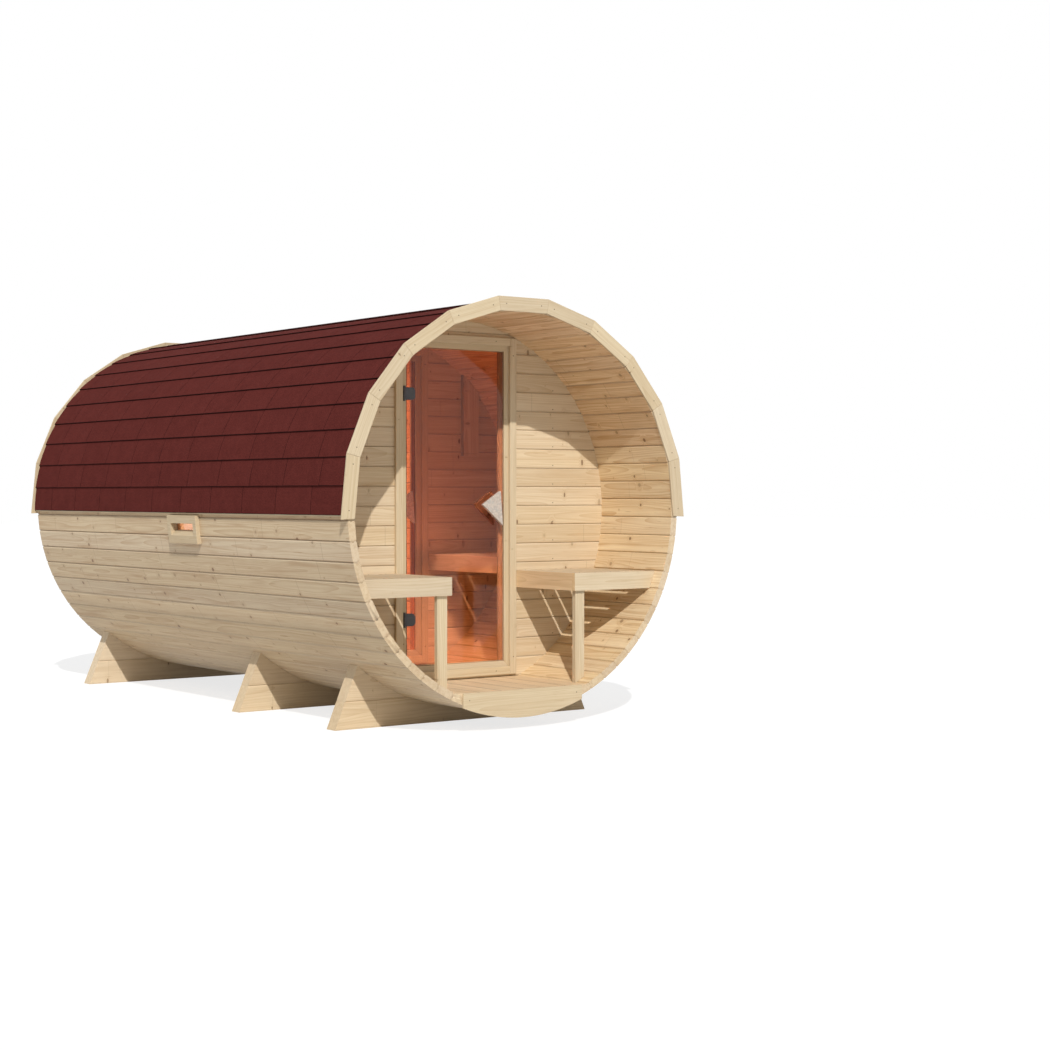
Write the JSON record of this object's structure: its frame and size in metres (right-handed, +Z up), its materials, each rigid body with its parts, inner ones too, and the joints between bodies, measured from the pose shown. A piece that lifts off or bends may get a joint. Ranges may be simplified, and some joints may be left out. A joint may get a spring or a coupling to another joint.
{
  "type": "barrel sauna",
  "caption": "Lying barrel cabin of wooden staves on cradles, with a shingled half-round roof, an open porch with benches and hinged glass doors to a vestibule and a sauna room.",
  "frame": {"origin": "on the ground, under the middle of the whole object's box", "axes": "+Z up, +Y along the barrel from the porch to the back, +X to the right of a person who faces the porch"},
  "size_m": [2.0762, 3.564, 2.0998],
  "materials": {
    "stave_wood": "planed spruce, untreated",
    "wall_wood": "planed spruce, untreated",
    "trim_wood": "planed spruce, untreated",
    "bench_wood": "planed spruce, untreated",
    "floor_wood": "planed spruce, untreated",
    "cradle_wood": "sawn spruce, untreated",
    "handle_wood": "smooth sanded light wood",
    "roof_shingle": "mineral granules on bitumen, matt dark red",
    "bronze_glass": "clear toughened glass, bronze tint",
    "black_metal": "satin black"
  },
  "bodies": {
    "cabin": {"bottom_staves": "stave_wood", "left_side_staves": "stave_wood", "right_side_staves": "stave_wood", "left_roof_staves": "stave_wood", "right_roof_staves": "stave_wood", "window_stave": "stave_wood", "front_trim": "trim_wood", "back_trim": "trim_wood", "front_fascia": "trim_wood", "roof_left": "roof_shingle", "roof_right": "roof_shingle", "ridge_strip": "roof_shingle", "eave_battens": "trim_wood", "front_wall_left": "wall_wood", "front_wall_right": "wall_wood", "front_wall_head": "wall_wood", "front_wall_base": "wall_wood", "partition_left": "wall_wood", "partition_right": "wall_wood", "partition_head": "wall_wood", "partition_base": "wall_wood", "partition_board": "wall_wood", "back_wall": "wall_wood", "front_door_frame": "trim_wood", "front_door_casing": "trim_wood", "front_hinge_brackets": "black_metal", "inner_door_frame": "trim_wood", "inner_door_casing": "trim_wood", "inner_hinge_brackets": "black_metal", "porch_floor": "floor_wood", "vestibule_floor": "floor_wood", "sauna_floor": "floor_wood", "porch_bench_left_seat": "bench_wood", "porch_bench_left_frame": "bench_wood", "porch_bench_right_seat": "bench_wood", "porch_bench_right_frame": "bench_wood", "vestibule_bench_seat": "bench_wood", "vestibule_bench_frame": "bench_wood", "window_frame": "trim_wood", "window_pane": "bronze_glass", "cradle_front": "cradle_wood", "cradle_middle": "cradle_wood", "cradle_back": "cradle_wood"},
    "front_door": {"front_door_glass": "bronze_glass", "front_hinge_clamps": "black_metal", "front_door_handles": "handle_wood"},
    "inner_door": {"inner_door_glass": "bronze_glass", "inner_hinge_clamps": "black_metal", "inner_door_handles": "handle_wood"}
  },
  "joints": [
    {"name": "front_door_hinge", "type": "hinge", "parent": "cabin", "child": "front_door", "pos_m": [-0.322, -1.214, 1.08], "axis": [0, 0, -1], "range_deg": [0, 90]},
    {"name": "inner_door_hinge", "type": "hinge", "parent": "cabin", "child": "inner_door", "pos_m": [-0.322, -0.392, 1.08], "axis": [0, 0, -1], "range_deg": [0, 90]}
  ]
}
